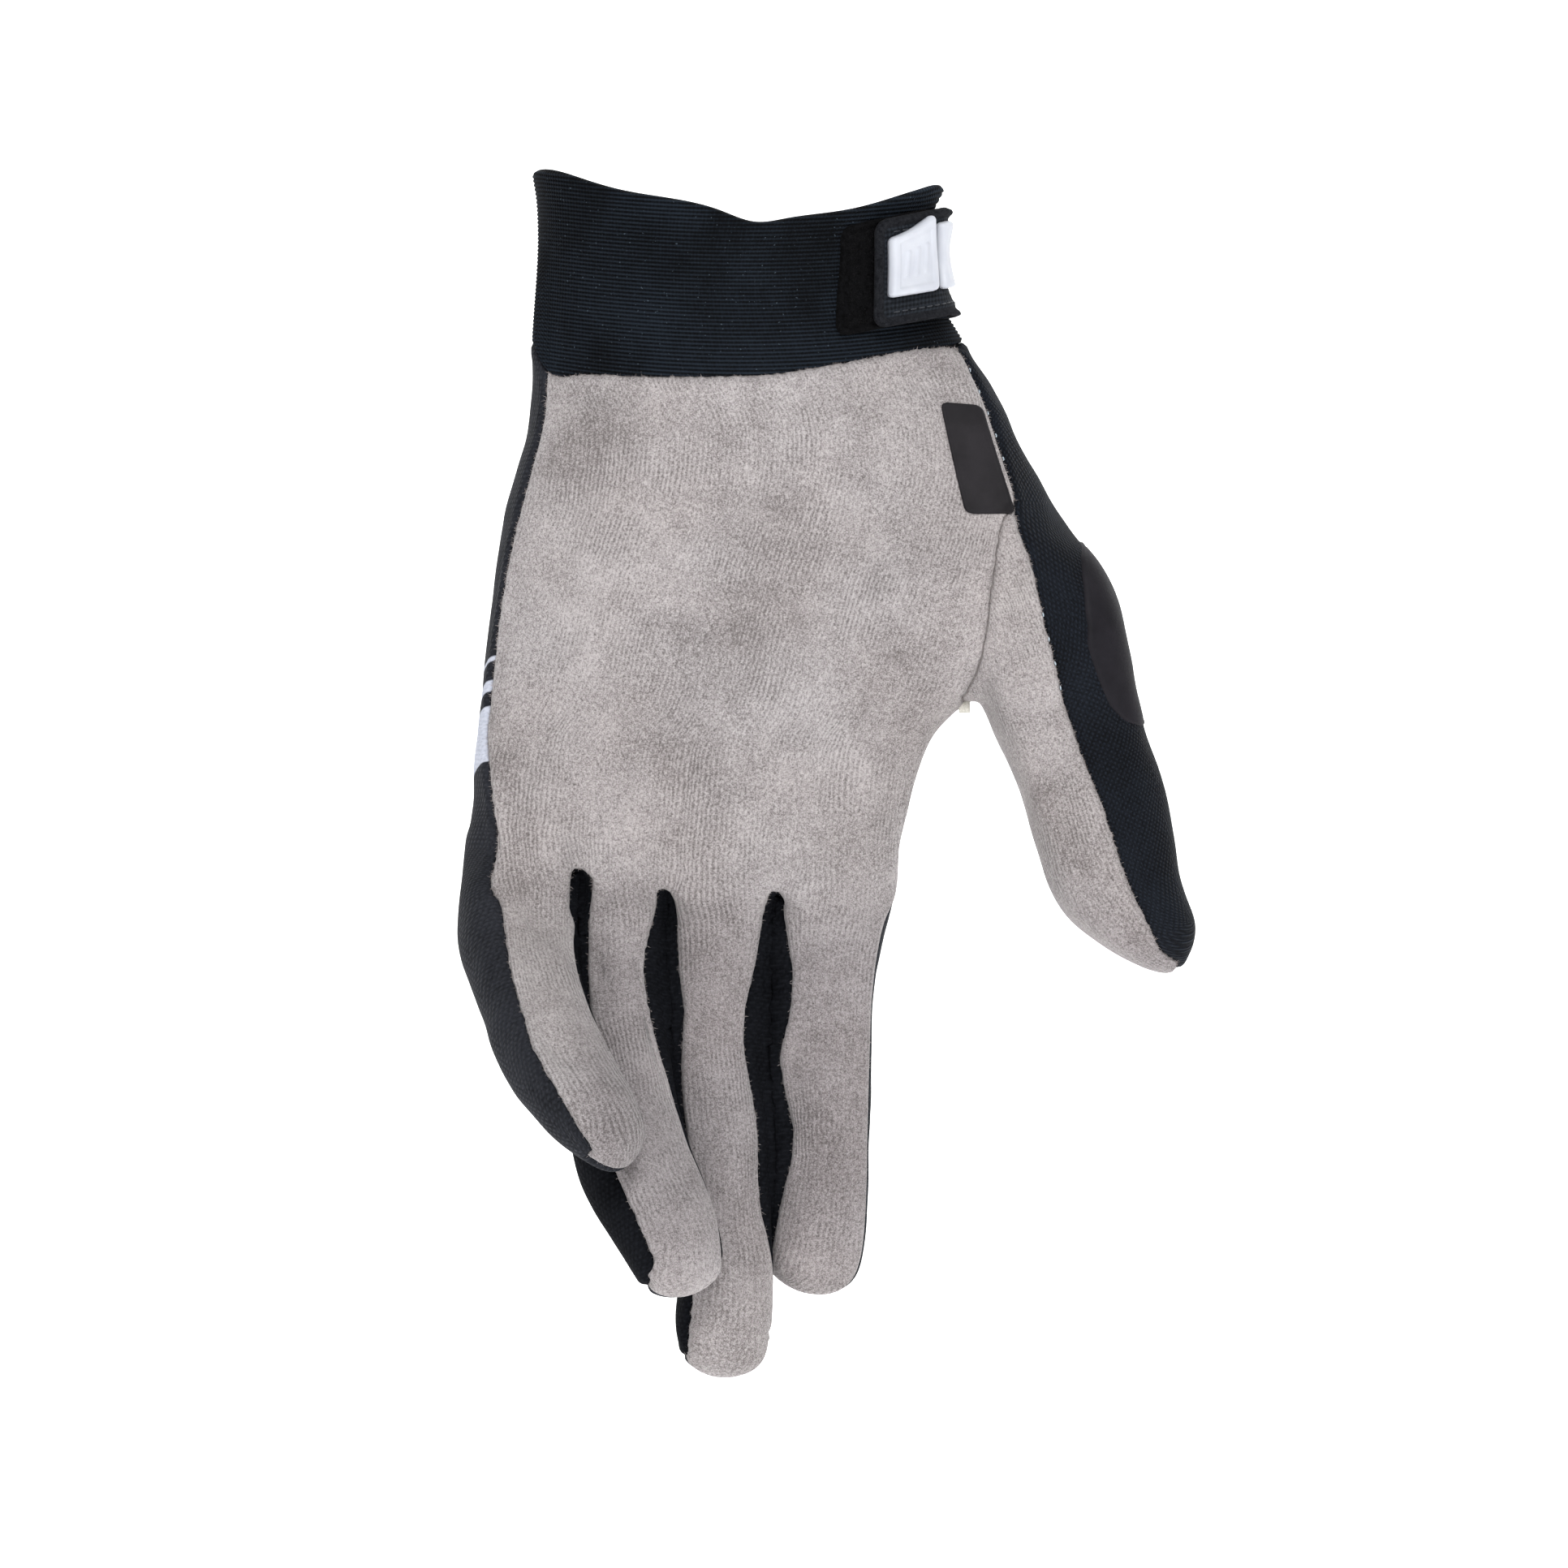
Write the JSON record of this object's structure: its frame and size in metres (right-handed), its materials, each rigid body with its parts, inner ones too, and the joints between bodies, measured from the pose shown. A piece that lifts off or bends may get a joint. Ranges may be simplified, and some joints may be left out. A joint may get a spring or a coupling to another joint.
{
  "type": "motocross glove",
  "caption": "Left-hand motocross glove in worn form: suede palm, stretch knit back, ribbed cuff with a hook-and-loop strap, and curled fingers.",
  "frame": {"origin": "middle of the wrist opening, at the height of the cuff rim's corners", "axes": "+Z along the forearm out of the wrist opening, so the fingers point to -Z; -Y is the palm side; +X is the thumb side"},
  "size_m": [0.1442, 0.0754, 0.2355],
  "materials": {
    "suede": "grey napped synthetic suede",
    "stretch_knit": "dark heathered stretch knit",
    "mesh_knit": "navy-black mesh knit",
    "elastic": "ribbed elastic",
    "loop_pile": "black loop pile of a hook-and-loop closure",
    "webbing": "black bound strap",
    "white_rubber": "matt white moulded rubber",
    "smooth_patch": "smooth dark coated fabric"
  },
  "bodies": {
    "root": {"cuff": "elastic", "palm_panel": "suede", "thumb_palm_panel": "suede", "back_panel": "stretch_knit", "thumb_back_panel": "mesh_knit", "fourchette_little_ring": "stretch_knit", "fourchette_ring_middle": "stretch_knit", "fourchette_middle_index": "stretch_knit", "thumb_overlay": "smooth_patch", "palm_label": "smooth_patch", "loop_patch": "loop_pile", "closure_strap": "webbing", "strap_badge": "white_rubber", "strap_badge_bar": "white_rubber"}
  },
  "joints": []
}
